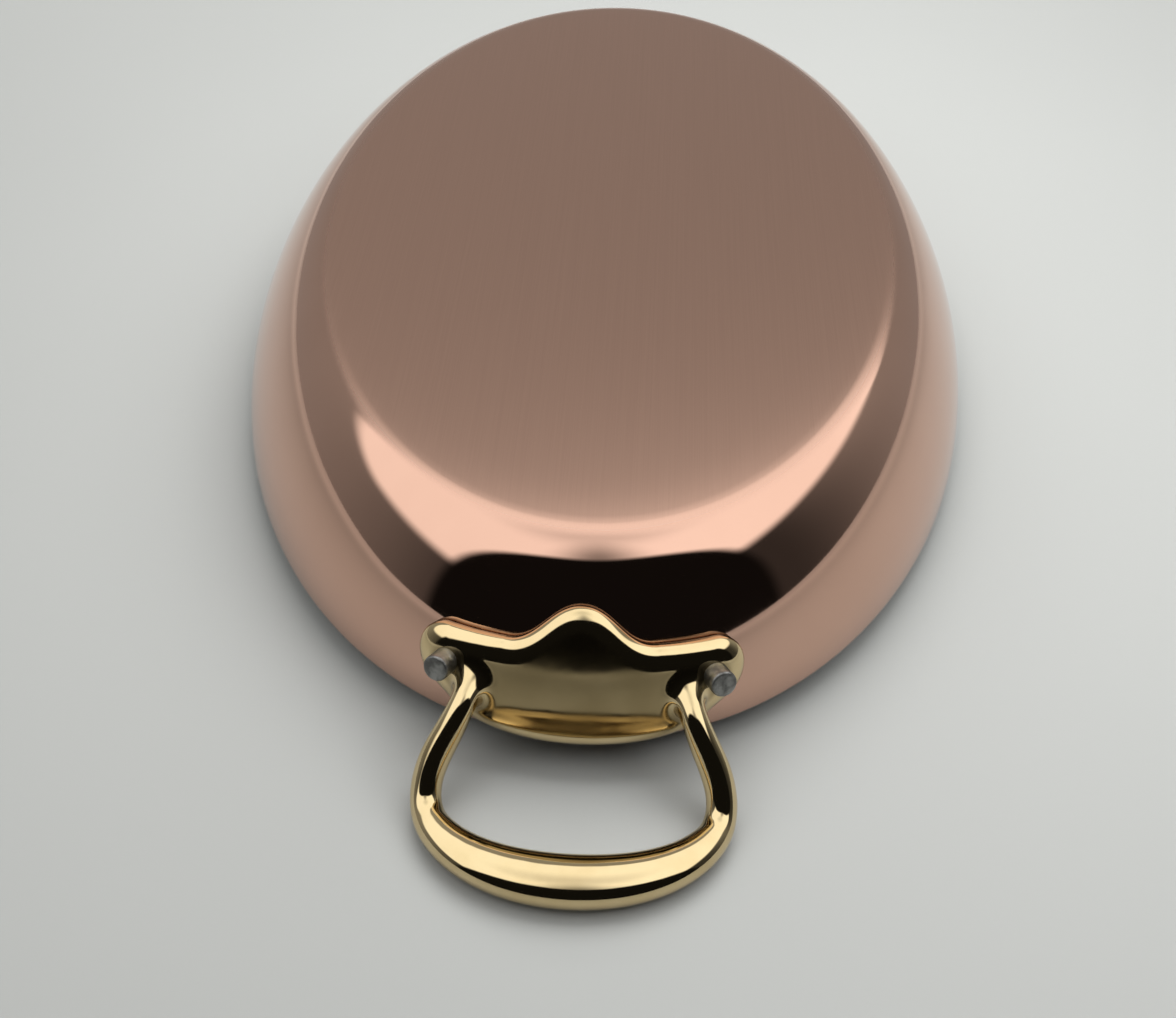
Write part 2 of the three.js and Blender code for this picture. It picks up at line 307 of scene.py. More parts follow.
def smooth_min(a, b, reach):
    """The lower of two fields, blended where they are within a reach of each other."""
    near = np.maximum(reach - np.abs(a - b), 0) / reach
    return np.minimum(a, b) - near * near * reach / 4


def smooth_max(a, b, reach):
    return -smooth_min(-a, -b, reach)


# Meshes.


def add_mesh(name, points, faces, normals=None, shares=None):
    """A smooth mesh object from points in millimetres off the rim plane, with its own normals and named numbers
    at each point if given."""
    mesh = bpy.data.meshes.new(name)
    points = (np.asarray(points) + (0, 0, RIM_LIFT)) * MM
    mesh.from_pydata(points.tolist(), [], [list(map(int, f)) for f in faces])
    mesh.validate()
    mesh.shade_smooth()
    if normals is not None:
        mesh.normals_split_custom_set_from_vertices(np.asarray(normals).tolist())
    for key, values in (shares or {}).items():
        mesh.attributes.new(key, "FLOAT", "POINT").data.foreach_set("value", np.asarray(values, np.float32))
    piece = bpy.data.objects.new(name, mesh)
    bpy.context.scene.collection.objects.link(piece)
    return piece


def ring_faces(rings, count):
    """Quads between rings of points that turn anticlockwise seen from the first ring's side."""
    faces = []
    for i in range(rings - 1):
        for j in range(count):
            k = (j + 1) % count
            faces.append((i * count + j, (i + 1) * count + j, (i + 1) * count + k, i * count + k))
    return faces


def oval_rings(section, steps):
    """Rings of an oval body from a list of (inset, height)."""
    turn = np.linspace(0, 2 * math.pi, steps, endpoint=False)
    rings = []
    for inset, height in section:
        across = (HALF_WIDTH - inset) * np.cos(turn)
        along = (HALF_LENGTH - inset) * np.sin(turn)
        rings.append(np.stack([across, along, np.full(steps, height)], axis=1))
    return rings


def flat_rings(ring, shares):
    """Rings that shrink a flat oval towards its middle."""
    middle = ring.mean(axis=0)
    return [middle + (ring - middle) * share for share in shares]


def crown_drop(inset):
    """How far the base's edge lies under the base's middle; on the wall this fades out."""
    inside = inset - BASE_INSET
    if inside >= 0:
        return CROWN_TILT * max(CROWN_REACH - inside, 0) ** 3 / (3 * CROWN_REACH**2)
    t = min(-inside / CROWN_FADE, 1)
    deepest = CROWN_TILT * CROWN_REACH / 3
    return deepest * (1 + 2 * t) * (1 - t) ** 2 + CROWN_TILT * CROWN_FADE * t * (1 - t) ** 2


def oval_shell(name, outer_depth, inner_depth, lowest, edge, crowned=False, steps=224, wall_steps=40):
    """An open oval shell between two depths under the dish's outer surface, with a rounded rim edge."""
    place, along = wall_curve(wall_steps + 1)
    inwards = np.stack([along[:, 1], -along[:, 0]], axis=1)

    def section(depth):
        points = place + inwards * depth
        points = points[points[:, 1] > lowest + 2 * edge]
        start = np.array([[np.interp(lowest, place[:, 1], place[:, 0]) + depth, lowest]])
        return np.vstack([start, points])

    outer = section(outer_depth)
    inner = section(inner_depth)
    corner = np.linspace(0, math.pi / 2, 4)
    out_x, in_x = outer[0, 0], inner[0, 0]
    outer_edge = [(out_x + edge * (1 - math.cos(a)), lowest + edge * (1 - math.sin(a))) for a in corner]
    inner_edge = [(in_x - edge * (1 - math.cos(a)), lowest + edge * (1 - math.sin(a))) for a in corner[::-1]]
    outside = list(outer[:0:-1])
    if crowned:
        insets = BASE_INSET + np.linspace(CROWN_REACH, CROWN_LAST_RING, CROWN_RINGS)
        base = [(inset, HEIGHT) for inset in insets]
        outside = [(inset, height - crown_drop(inset)) for inset, height in base + outside]
    profile = outside + outer_edge + inner_edge + list(inner[1:])
    rings = oval_rings(profile, steps)
    rings = flat_rings(rings[0], FLAT_SHARES) + rings + flat_rings(rings[-1], FLAT_SHARES[::-1])
    faces = ring_faces(len(rings), steps)
    points = np.vstack(rings)
    top = len(points)
    points = np.vstack([points, rings[0].mean(axis=0), rings[-1].mean(axis=0)])
    last = (len(rings) - 1) * steps
    for j in range(steps):
        k = (j + 1) % steps
        faces.append((top, j, k))
        faces.append((top + 1, last + k, last + j))
    return add_mesh(name, points, faces)


# The casting is one smooth body, found as the zero surface of a distance-like field.

wall_place, wall_along = wall_curve(WALL_POINTS)
wall_lean = wall_along[:, 0] / np.maximum(wall_along[:, 1], 1e-4)


def wall_frame(x, height):
    """Point and outward normal of the wall at the -Y end, for distances across and heights."""
    inset = np.interp(height, wall_place[:, 1], wall_place[:, 0])
    lean = np.interp(height, wall_place[:, 1], wall_lean)
    across = HALF_WIDTH - inset
    reach = HALF_LENGTH - inset
    y = -reach * np.sqrt(np.maximum(0, 1 - (x / across) ** 2))
    normal = np.stack(
        [x / across**2, y / reach**2, lean * (x**2 / across**3 + y**2 / reach**3)], axis=-1
    )
    normal /= np.linalg.norm(normal, axis=-1, keepdims=True)
    return np.stack([x, y, height], axis=-1), normal


def wall_coordinates(points):
    """Distance across, height and lift of points near the wall at the -Y end."""
    x = points[:, 0].copy()
    height = np.clip(points[:, 2], FOOT_START, FOOT_HIGH)
    lift = np.zeros(len(points))
    for _ in range(FOOT_STEPS):
        foot, normal = wall_frame(x, height)
        apart = points - foot
        lift = np.einsum("ij,ij->i", apart, normal)
        slide = apart - lift[:, None] * normal
        x = np.clip(x + slide[:, 0], -FOOT_ACROSS, FOOT_ACROSS)
        height = np.clip(height + slide[:, 2], FOOT_LOW, FOOT_HIGH)
    return x, height, lift


def plate_outline():
    """The plate's outline, anticlockwise from the bottom middle: across and height."""
    ear_x = EAR_SPACING / 2
    valley_x = VALLEY_SPACING / 2
    spoke = np.array([math.cos(EAR_START), math.sin(EAR_START)])
    ear = np.array([ear_x, EAR_HEIGHT])
    low = ear + EAR_RADIUS * spoke
    run_in = low + EAR_HANDLE * np.array([spoke[1], -spoke[0]])
    lens, _ = bezier((0, PLATE_BOTTOM), (LENS_HANDLE, PLATE_BOTTOM), run_in, low, CURVE_POINTS)
    turn = np.linspace(EAR_START, math.pi / 2, CURVE_POINTS)
    arc = ear + EAR_RADIUS * np.stack([np.cos(turn), np.sin(turn)], axis=1)
    valley = (valley_x, VALLEY_HEIGHT)
    run_out = (valley_x - WAVE_HANDLE, VALLEY_HEIGHT)
    wave, _ = bezier(valley, run_out, (WAVE_HANDLE, PLATE_PEAK), (0, PLATE_PEAK), CURVE_POINTS)
    line = np.linspace(arc[-1], valley, LINE_POINTS)
    right = np.vstack([lens, arc[1:], line[1:], wave[1:]])
    left = right[-2:0:-1] * (-1, 1)
    return np.vstack([right, left])


class OutlineField:
    """Signed distance to the plate's outline, kept on a grid and read through a smooth spline."""

    STEP = 0.3
    MARGIN = 9

    def __init__(self):
        outline = plate_outline()
        self.low = outline.min(axis=0) - self.MARGIN
        high = outline.max(axis=0) + self.MARGIN
        counts = np.ceil((high - self.low) / self.STEP).astype(int) + 4
        xs = self.low[0] + self.STEP * np.arange(counts[0])
        hs = self.low[1] + self.STEP * np.arange(counts[1])
        grid = np.stack(np.meshgrid(xs, hs, indexing="ij"), axis=-1).reshape(-1, 2)
        edge = np.roll(outline, -1, axis=0) - outline
        length = np.einsum("ij,ij->i", edge, edge)
        best = np.full(len(grid), 1e9)
        inside = np.zeros(len(grid), bool)
        for p, e, n in zip(outline, edge, length):
            away = grid - p
            t = np.clip((away @ e) / n, 0, 1)
            gap = away - t[:, None] * e
            best = np.minimum(best, np.einsum("ij,ij->i", gap, gap))
            crosses = (grid[:, 1] >= p[1]) != (grid[:, 1] >= p[1] + e[1])
            with np.errstate(divide="ignore", invalid="ignore"):
                meet = p[0] + (grid[:, 1] - p[1]) * e[0] / e[1]
            inside ^= crosses & (grid[:, 0] < meet)
        distance = np.sqrt(best)
        self.values = np.where(inside, -distance, distance).reshape(counts)

    def __call__(self, x, height):
        u = (x - self.low[0]) / self.STEP
        v = (height - self.low[1]) / self.STEP
        u = np.clip(u, 1, self.values.shape[0] - 3.001)
        v = np.clip(v, 1, self.values.shape[1] - 3.001)
        i = u.astype(int)
        j = v.astype(int)

        def weights(f):
            return (
                (1 - f) ** 3 / 6,
                (3 * f**3 - 6 * f**2 + 4) / 6,
                (-3 * f**3 + 3 * f**2 + 3 * f + 1) / 6,
                f**3 / 6,
            )

        wu = weights(u - i)
        wv = weights(v - j)
        total = np.zeros(len(u))
        for a in range(4):
            for b in range(4):
                total += wu[a] * wv[b] * self.values[i + a - 1, j + b - 1]
        return total


outline_distance = OutlineField()


def face_lift(height):
    """How far the plate's face stands off the wall."""
    return FACE_LIFT + FLARE * smooth_step((FLARE_TO - height) / (FLARE_TO - PLATE_BOTTOM))


def plate_field(points):
    """Distance-like field of the plate, and of everything behind its back face."""
    x, height, lift = wall_coordinates(points)
    side = outline_distance(x, height)
    upper = smooth_step((height - LOW_FROM) / (LOW_TO - LOW_FROM))
    wide = LOW_ROUND + (EDGE_ROUND - LOW_ROUND) * upper
    deep = LOW_DROP + (EDGE_DROP - LOW_DROP) * upper
    out = np.maximum(side + wide, 0) / wide
    up = np.maximum(lift - face_lift(height) + deep, 0) / deep
    far = np.hypot(out, up)
    steep = np.hypot(out / wide, up / deep)
    edge = np.where(far > 1e-6, far * (far - 1) / np.maximum(steep, 1e-9), -deep)
    return edge, SEAT_GAP - lift


def face_share(points):
    """How far points are in the middle of the plate's face, which is rougher there and painted darker as shade: 0 on
    its rounded edge and on the loop, 1 inside.
    """
    x, height, lift = wall_coordinates(points)
    inside = smooth_step((-outline_distance(x, height) - FACE_EDGE) / FACE_FADE)
    return inside * smooth_step((FACE_RISE - lift + face_lift(height)) / FACE_RISE)


def seam_share(points):
    """How close points are to the seam between the plate and the wall: 1 at the seam, 0 away from it."""
    _, _, lift = wall_coordinates(points)
    return 1 - smooth_step((lift - SEAM_START) / (SEAM_END - SEAM_START))


def bend_height(out):
    """Height of the bent sheet that the loop lies on, with its first and second slopes."""
    length = BEND_END - BEND_START
    drop = LOOP_HEIGHT + RIM_LIFT - SHOULDER_DIAMETER / 2
    share = np.clip((out - BEND_START) / length, 0, 1)
    fall = share**3 * (10 - 15 * share + 6 * share**2)
    slope = -drop * 30 * (share * (1 - share)) ** 2 / length
    turn = -drop * 60 * share * (1 - share) * (1 - 2 * share) / length**2
    return LOOP_HEIGHT - drop * fall, slope, turn


def to_loop(points):
    """Across, outwards and up coordinates of points near the bent sheet of the loop."""
    reach = -points[:, 1] - HALF_LENGTH
    sheet = np.stack([SHEET_TRIES, bend_height(SHEET_TRIES)[0]], axis=1)
    out = SHEET_TRIES[nearest_samples(np.stack([reach, points[:, 2]], axis=1), sheet)]
    for _ in range(SHEET_STEPS):
        height, slope, turn = bend_height(out)
        above = points[:, 2] - height
        miss = out - reach - above * slope
        out = out - np.clip(miss / np.maximum(1 + slope**2 - above * turn, LEAST_CHANGE), -1, 1)
    height, slope, _ = bend_height(out)
    up = (points[:, 2] - height - (reach - out) * slope) / np.sqrt(1 + slope**2)
    return points[:, 0], out, up


def loop_curves():
    """Plan of the loop's right half: from the middle of the grip to the shoulder, and on to the root."""
    wide_x = LOOP_WIDTH / 2
    root_x = ROOT_SPACING / 2
    foot, normal = wall_frame(np.array([root_x]), np.array([LOOP_HEIGHT]))
    inside = (foot + normal * FACE_LIFT / 2)[0]
    root_out = -inside[1] - HALF_LENGTH
    shoulder = (wide_x, LOOP_SHOULDER)
    before = (wide_x, LOOP_SHOULDER + SHOULDER_OUTWARDS)
    after = (wide_x, LOOP_SHOULDER - SHOULDER_INWARDS)
    grip = PlaneCurve((0, LOOP_REACH), (GRIP_HANDLE, LOOP_REACH), before, shoulder)
    bar = PlaneCurve(shoulder, after, (root_x, root_out + ROOT_HANDLE), (root_x, root_out))
    return grip, bar


GRIP_CURVE, BAR_CURVE = loop_curves()


def loop_field(points):
    """Distance-like field of the loop: a swept section that is round in the bars and wider in the grip."""
    x, out, up = to_loop(points)
    flat = np.stack([np.abs(x), out], axis=1)
    grip_t = GRIP_CURVE.nearest(flat)
    bar_t = BAR_CURVE.nearest(flat)
    grip_place, grip_slope, _ = GRIP_CURVE.at(grip_t)
    bar_place, bar_slope, _ = BAR_CURVE.at(bar_t)
    on_grip = np.linalg.norm(flat - grip_place, axis=1) < np.linalg.norm(flat - bar_place, axis=1)
    place = np.where(on_grip[:, None], grip_place, bar_place)
    along = np.where(on_grip[:, None], grip_slope, bar_slope)
    along = along / np.linalg.norm(along, axis=1, keepdims=True)
    share = np.where(on_grip, smooth_step(1 - grip_t), 0)
    bar_size = SHOULDER_DIAMETER + (BAR_DIAMETER - SHOULDER_DIAMETER) * smooth_step(2 * bar_t)
    grip_width = SHOULDER_DIAMETER + (GRIP_WIDTH - SHOULDER_DIAMETER) * share
    grip_height = SHOULDER_DIAMETER + (GRIP_THICKNESS - SHOULDER_DIAMETER) * share
    half = np.where(on_grip, grip_width, bar_size) / 2
    thick = np.where(on_grip, grip_height, bar_size) / 2
    square = 2 + (GRIP_SQUARENESS - 2) * share
    apart = flat - place
    side = -along[:, 1] * apart[:, 0] + along[:, 0] * apart[:, 1]
    beyond = np.maximum(np.einsum("ij,ij->i", apart, along), 0)
    rise = np.maximum(thick - SHOULDER_DIAMETER / 2, 0)
    u = np.abs(side) / half
    v = np.abs(up - rise) / thick
    m = np.maximum(u**square + v**square, 1e-9) ** (1 / square)
    slope = np.hypot((u / m) ** (square - 1) / half, (v / m) ** (square - 1) / thick)
    section = (m - 1) / np.maximum(slope, 1e-6)
    return np.where(beyond > 0, np.hypot(np.maximum(section, 0), beyond) + np.minimum(section, 0), section)


def casting_field(points):
    """Distance-like field of the whole casting, negative inside."""
    plate, behind = plate_field(points)
    joined = smooth_min(plate, loop_field(points), ROOT_BLEND)
    return smooth_max(joined, behind, BACK_BLEND)


def field_values(origin, counts):
    """The casting's field on a grid: everywhere on a coarse grid, and finely near its surface."""
    coarse_counts = [n // COARSE + 2 for n in counts]
    axes = [origin[k] + VOXEL * COARSE * np.arange(n) for k, n in enumerate(coarse_counts)]
    grid = np.stack(np.meshgrid(*axes, indexing="ij"), axis=-1)
    coarse = casting_field(grid.reshape(-1, 3)).reshape(coarse_counts)
    near = np.abs(coarse) < NEAR_STEPS * VOXEL * COARSE
    blocks = near[:-1, :-1, :-1].copy()
    for i in (0, 1):
        for j in (0, 1):
            for k in (0, 1):
                blocks |= near[i : i + blocks.shape[0], j : j + blocks.shape[1], k : k + blocks.shape[2]]
    values = coarse[:-1, :-1, :-1]
    for axis in range(3):
        values = np.repeat(values, COARSE, axis=axis)
        blocks = np.repeat(blocks, COARSE, axis=axis)
    values = values[: counts[0], : counts[1], : counts[2]].copy()
    fine = np.argwhere(blocks[: counts[0], : counts[1], : counts[2]])
    values[tuple(fine.T)] = casting_field(np.asarray(origin) + fine * VOXEL)
    return values


def surface_net(values):
    """Points and quads of the zero surface of a field on a grid, in grid steps."""
    inside = values < 0
    cells = tuple(n - 1 for n in values.shape)
    total = np.zeros(cells + (3,))
    count = np.zeros(cells)
    unit = np.eye(3, dtype=int)
    rings = []
    for axis in range(3):
        here = np.argwhere(np.diff(inside, axis=axis))
        there = here + unit[axis]
        a = values[tuple(here.T)]
        b = values[tuple(there.T)]
        crossing = here + unit[axis] * (a / (a - b))[:, None]
        u, v = unit[(axis + 1) % 3], unit[(axis + 2) % 3]
        ring = np.stack([here, here - u, here - u - v, here - v], axis=1)
        for corner in range(4):
            np.add.at(total, tuple(ring[:, corner].T), crossing)
            np.add.at(count, tuple(ring[:, corner].T), 1)
        ring[a >= 0] = ring[a >= 0][:, ::-1]
        rings.append(ring)
    used = count > 0
    number = np.full(cells, -1)
    number[used] = np.arange(used.sum())
    points = total[used] / count[used][:, None]
    rings = np.vstack(rings)
    return points, number[rings[..., 0], rings[..., 1], rings[..., 2]]


def gradient(points):
    """Slope of the casting's field."""
    slopes = []
    for axis in range(3):
        shift = np.zeros(3)
        shift[axis] = GRADIENT_REACH
        change = casting_field(points + shift) - casting_field(points - shift)
        slopes.append(change / (2 * GRADIENT_REACH))
    return np.stack(slopes, axis=1)


def settle(points, quads):
    """Spread the points evenly along the surface, put them on it, and find its normals there."""
    edges = np.vstack([quads[:, [0, 1]], quads[:, [1, 2]], quads[:, [2, 3]], quads[:, [3, 0]]])
    degree = np.bincount(edges.ravel(), minlength=len(points))
    for pass_number in range(SETTLE_PASSES):
        slope = gradient(points)
        steep = np.maximum(np.einsum("ij,ij->i", slope, slope), 0.1)
        move = -(casting_field(points) / steep)[:, None] * slope
        points = points + np.clip(move, -LONGEST_MOVE, LONGEST_MOVE)
        normal = slope / np.sqrt(steep)[:, None]
        if pass_number == SETTLE_PASSES - 1:
            break
        for _ in range(SPREAD_STEPS):
            mean = np.zeros_like(points)
            np.add.at(mean, edges[:, 0], points[edges[:, 1]])
            np.add.at(mean, edges[:, 1], points[edges[:, 0]])
            pull = mean / degree[:, None] - points
            pull -= np.einsum("ij,ij->i", pull, normal)[:, None] * normal
            points = points + SPREAD_SHARE * pull
    slope = gradient(points)
    return points, slope / np.linalg.norm(slope, axis=1, keepdims=True)


def make_casting():
    """Points, normals and quads of the casting at the -Y end."""
    counts = np.ceil((CASTING_HIGH - CASTING_LOW) / VOXEL).astype(int) + 1
    found, quads = surface_net(field_values(CASTING_LOW, counts))
    points, normals = settle(CASTING_LOW + found * VOXEL, quads)
    return points, normals, quads


def lathe(name, profile, origin, axis, steps=40):
    """A closed round body on an axis: each profile entry is a radius and a height, the ends have radius 0."""
    axis = np.asarray(axis)
    across = np.cross((0, 0, 1), axis)
    across /= np.linalg.norm(across)
    upright = np.cross(axis, across)
    turn = np.linspace(0, 2 * math.pi, steps, endpoint=False)
    spokes = np.cos(turn)[:, None] * across + np.sin(turn)[:, None] * upright
    points = [origin + axis * height + spokes * radius for radius, height in profile[1:-1]]
    rings = len(points)
    faces = ring_faces(rings, steps)
    points = np.vstack(points + [[origin + axis * profile[0][1]], [origin + axis * profile[-1][1]]])
    first = rings * steps
    for j in range(steps):
        k = (j + 1) % steps
        faces.append((first, j, k))
        faces.append((first + 1, first - steps + k, first - steps + j))
    return add_mesh(name, points, faces)


def rivet_profile():
    """From the stub's end outside to the crown of the head inside."""
    end = FACE_LIFT + RIVET_STUB
    seat = -(COPPER + BOND_GAP + LINING + HEAD_SEAT)
    profile = [(radius, end - drop) for radius, drop in STUB_DOME]
    for a in np.linspace(math.pi / 2, 0, 5):
        radius = RIVET_RADIUS - STUB_ROUND + STUB_ROUND * math.cos(a)
        profile.append((radius, end - STUB_DROP - STUB_ROUND + STUB_ROUND * math.sin(a)))
    profile += [(RIVET_RADIUS, end - SHANK_TOP), (RIVET_RADIUS, seat + SHANK_FILLET)]
    profile += [(RIVET_RADIUS + SHANK_FILLET, seat)]
    profile += [(HEAD_RADIUS - HEAD_ROUND, seat), (HEAD_RADIUS, seat - HEAD_ROUND)]
    dome = HEAD_HEIGHT - HEAD_LAND
    for a in np.linspace(0, math.pi / 2, 9):
        profile.append((HEAD_RADIUS * math.cos(a), seat - HEAD_LAND - dome * math.sin(a)))
    profile[-1] = (0, profile[-1][1])
    return profile


def turned(points):
    """The same place at the other end of the dish."""
    return np.asarray(points) * (-1, -1, 1)


# Materials.


class Graph:
    """Short calls for building a node tree."""

    def __init__(self, tree):
        self.tree = tree
        tree.nodes.clear()

    def node(self, kind, **settings):
        made = self.tree.nodes.new(kind)
        for key, value in settings.items():
            setattr(made, key, value)
        return made

    def put(self, socket, value):
        if isinstance(value, bpy.types.NodeSocket):
            self.tree.links.new(value, socket)
        else:
            socket.default_value = value

    def math(self, operation, *values):
        made = self.node("ShaderNodeMath", operation=operation)
        for socket, value in zip(made.inputs, values):
            self.put(socket, value)
        return made.outputs[0]

    def fit(self, value, low, high, to_low=0.0, to_high=1.0, kind="SMOOTHSTEP"):
        made = self.node("ShaderNodeMapRange", interpolation_type=kind)
        for socket, entry in zip(made.inputs, (value, low, high, to_low, to_high)):
            self.put(socket, entry)
        return made.outputs[0]

    def mix(self, share, first, second):
        made = self.node("ShaderNodeMix", data_type="RGBA")
        self.put(made.inputs[0], share)
        self.put(made.inputs[6], first)
        self.put(made.inputs[7], second)
        return made.outputs[2]

    def blend(self, share, first, second):
        made = self.node("ShaderNodeMix", data_type="FLOAT")
        self.put(made.inputs[0], share)
        self.put(made.inputs[2], first)
        self.put(made.inputs[3], second)
        return made.outputs[0]

    def noise(self, scale, detail=2.0, stretch=(1, 1, 1), roughness=0.5):
        coordinates = self.node("ShaderNodeTexCoord").outputs["Object"]
        mapping = self.node("ShaderNodeMapping")
        self.put(mapping.inputs["Vector"], coordinates)
        mapping.inputs["Scale"].default_value = stretch
        made = self.node("ShaderNodeTexNoise")
        self.put(made.inputs["Vector"], mapping.outputs[0])
        made.inputs["Scale"].default_value = scale
        made.inputs["Detail"].default_value = detail
        made.inputs["Roughness"].default_value = roughness
        return made.outputs["Fac"]

    def bump(self, height, distance, strength=1.0, normal=None):
        made = self.node("ShaderNodeBump")
        self.put(made.inputs["Height"], height)
        made.inputs["Distance"].default_value = distance
        made.inputs["Strength"].default_value = strength
        if normal is not None:
            self.put(made.inputs["Normal"], normal)
        return made.outputs[0]

    def position(self):
        coordinates = self.node("ShaderNodeTexCoord").outputs["Object"]
        split = self.node("ShaderNodeSeparateXYZ")
        self.put(split.inputs[0], coordinates)
        return split.outputs

    def surface(self, color, roughness, normal, metallic=1.0):
        shader = self.node("ShaderNodeBsdfPrincipled")
        self.put(shader.inputs["Base Color"], color)
        self.put(shader.inputs["Roughness"], roughness)
        shader.inputs["Metallic"].default_value = metallic
        if normal is not None:
            self.put(shader.inputs["Normal"], normal)
        output = self.node("ShaderNodeOutputMaterial")
        self.put(output.inputs["Surface"], shader.outputs[0])
        return shader


def material(name):
    made = bpy.data.materials.new(name)
    made.use_nodes = True
    return made, Graph(made.node_tree)


def copper_material():
    """Mirror-polished wall, and a satin base with fine lines along the dish."""
    made, g = material("copper")
    _, _, z = g.position()
    top = RIM_LIFT + HEIGHT
    base = g.fit(z, (top - SATIN_FROM) * MM, (top - SATIN_TO) * MM)
    lines = g.noise(1.0, 2.0, (9000, 30, 9000), 0.6)
    long_lines = g.noise(1.0, 2.0, (3600, 8, 3600), 0.5)
    cloud = g.noise(26.0, 4.0)
    speck = g.noise(900.0, 2.0)
    wall_color = g.mix(g.fit(cloud, 0.3, 0.7), COPPER_DEEP, COPPER_WALL)
    both_lines = g.math("ADD", g.math("MULTIPLY", lines, 0.6), g.math("MULTIPLY", long_lines, 0.4))
    line_tone = g.fit(both_lines, 0.35, 0.65)
    base_color = g.mix(line_tone, COPPER_DEEP, COPPER_BASE)
    color = g.mix(base, wall_color, base_color)
    wall_rough = g.fit(cloud, 0.3, 0.75, *WALL_ROUGHNESS)
    base_rough = g.fit(line_tone, 0.0, 1.0, *BASE_ROUGHNESS)
    rough = g.blend(base, wall_rough, base_rough)
    wave = g.noise(22.0, 1.0)
    waved = g.bump(g.math("MULTIPLY", wave, g.math("SUBTRACT", 1.0, base)), 0.00012)
    fine = g.math("ADD", g.math("MULTIPLY", lines, base), g.math("MULTIPLY", speck, 0.05))
    normal = g.bump(fine, 0.0000004, 1.0, waved)
    shader = g.surface(color, rough, normal)
    shader.inputs["Anisotropic"].default_value = 0.8
    across = g.node("ShaderNodeCombineXYZ")
    across.inputs["X"].default_value = 1.0
    g.put(shader.inputs["Tangent"], across.outputs[0])
    return made


def brass_material():
    """Casting in warm yellow: polished edges and loop, a duller face between them that is painted darker as shade for
    the shaded floor it reflects, and tarnish in the seam.
    """
    made, g = material("cast_brass")
    satin = g.node("ShaderNodeAttribute", attribute_name="satin").outputs["Fac"]
    seam = g.node("ShaderNodeAttribute", attribute_name="seam").outputs["Fac"]
    cloud = g.noise(90.0, 4.0)
    grain = g.noise(900.0, 2.0)
    swell = g.noise(70.0, 1.0)
    tone = g.fit(cloud, 0.35, 0.7)
    bright = g.mix(tone, BRASS_LIGHT, BRASS_DEEP)
    # Painted shade: the face's darker colours stand in for the shaded floor in front of the dish that it reflects.
    dull_and_shaded = g.mix(tone, SHADED_FACE_LIGHT, SHADED_FACE_DEEP)
    tarnish = g.math("MULTIPLY", seam, g.fit(cloud, 0.3, 0.6, 0.6, 0.95))
    color = g.mix(tarnish, g.mix(satin, bright, dull_and_shaded), TARNISH)
    rough = g.blend(satin, g.fit(cloud, 0.3, 0.75, 0.05, 0.1), g.fit(cloud, 0.3, 0.75, 0.08, 0.14))
    rough = g.blend(tarnish, rough, TARNISH_ROUGHNESS)
    normal = g.bump(swell, 0.00010, 1.0)
    normal = g.bump(g.noise(210.0, 1.0), 0.000025, 1.0, normal)
    normal = g.bump(g.math("MULTIPLY", grain, g.fit(satin, 0.0, 1.0, 1.0, 3.0)), 0.0000006, 1.0, normal)
    g.surface(color, rough, normal)
    return made


def rivet_material():
    """Dull steel with a rough, slightly pitted skin."""
    made, g = material("rivet_steel")
    cloud = g.noise(500.0, 4.0)
    grain = g.noise(2400.0, 3.0)
    color = g.mix(g.fit(cloud, 0.35, 0.7), RIVET_LIGHT, RIVET_DARK)
    rough = g.fit(cloud, 0.3, 0.75, 0.32, 0.5)
    normal = g.bump(cloud, 0.0003, 0.8)
    normal = g.bump(grain, 0.00004, 1.0, normal)
    g.surface(color, rough, normal)
    return made


def lining_material():
    """Satin steel with fine lines along the dish."""
    made, g = material("lining_steel")
    lines = g.noise(1.0, 3.0, (1400, 12, 1400), 0.6)
    cloud = g.noise(30.0, 3.0)
    color = g.mix(g.fit(lines, 0.35, 0.65), STEEL_DEEP, STEEL_LIGHT)
    rough = g.fit(cloud, 0.3, 0.7, 0.24, 0.32)
    normal = g.bump(lines, 0.000008, 1.0)
    g.surface(color, rough, normal)
    return made


def floor_material():
    """A pale table top, paler away from the lamps around the dish so that it looks even."""
    made, g = material("pale_floor")
    cloud = g.noise(3.0, 3.0)
    grain = g.noise(400.0, 2.0)
    x, y, _ = g.position()
    reach = g.math("SQRT", g.math("MULTIPLY_ADD", x, x, g.math("MULTIPLY", y, y)))
    near = g.mix(g.fit(cloud, 0.3, 0.7), FLOOR_DEEP, FLOOR_LIGHT)
    color = g.mix(g.fit(reach, FLOOR_NEAR_END, FLOOR_FAR_START), near, FLOOR_FAR)
    normal = g.bump(grain, 0.00002, 1.0)
    shader = g.surface(color, 0.65, normal, 0.0)
    shader.inputs["Specular IOR Level"].default_value = 0.25
    return made


# Pieces.


def dress(piece, node, look):
    """Give a piece its material, put it under the root body, and hide the CAD node it stands for."""
    piece.data.materials.append(look)
    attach(piece, "root")
    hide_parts(node)


copper_look = copper_material()
brass_look = brass_material()
rivet_look = rivet_material()
lining_look = lining_material()

body = oval_shell("dish_body", 0, COPPER, 0, RIM_ROUND, crowned=True)
dress(body, "copper_body", copper_look)

lining_outside = COPPER + BOND_GAP
lining = oval_shell("dish_lining", lining_outside, lining_outside + LINING, LINING_STEP, LINING_ROUND)
dress(lining, "steel_lining", lining_look)

points, normals, quads = make_casting()
# The satin share makes the plate's face rougher and paints it darker as shade.
shares = {"satin": face_share(points), "seam": seam_share(points)}
front = add_mesh("casting_front", points, quads, normals, shares)
dress(front, "handle_front", brass_look)
rear = add_mesh("casting_rear", turned(points), quads, turned(normals), shares)
dress(rear, "handle_rear", brass_look)

for side, other, sign in (("left", "right", -1), ("right", "left", 1)):
    foot, axis = wall_frame(np.array([sign * EAR_SPACING / 2]), np.array([EAR_HEIGHT + RIVET_ABOVE_EAR]))
    rivet = lathe("stub_front_" + side, rivet_profile(), foot[0], axis[0])
    dress(rivet, "rivet_front_" + side, rivet_look)
    rivet = lathe("stub_rear_" + other, rivet_profile(), turned(foot[0]), turned(axis[0]))
    dress(rivet, "rivet_rear_" + other, rivet_look)

# Stage.


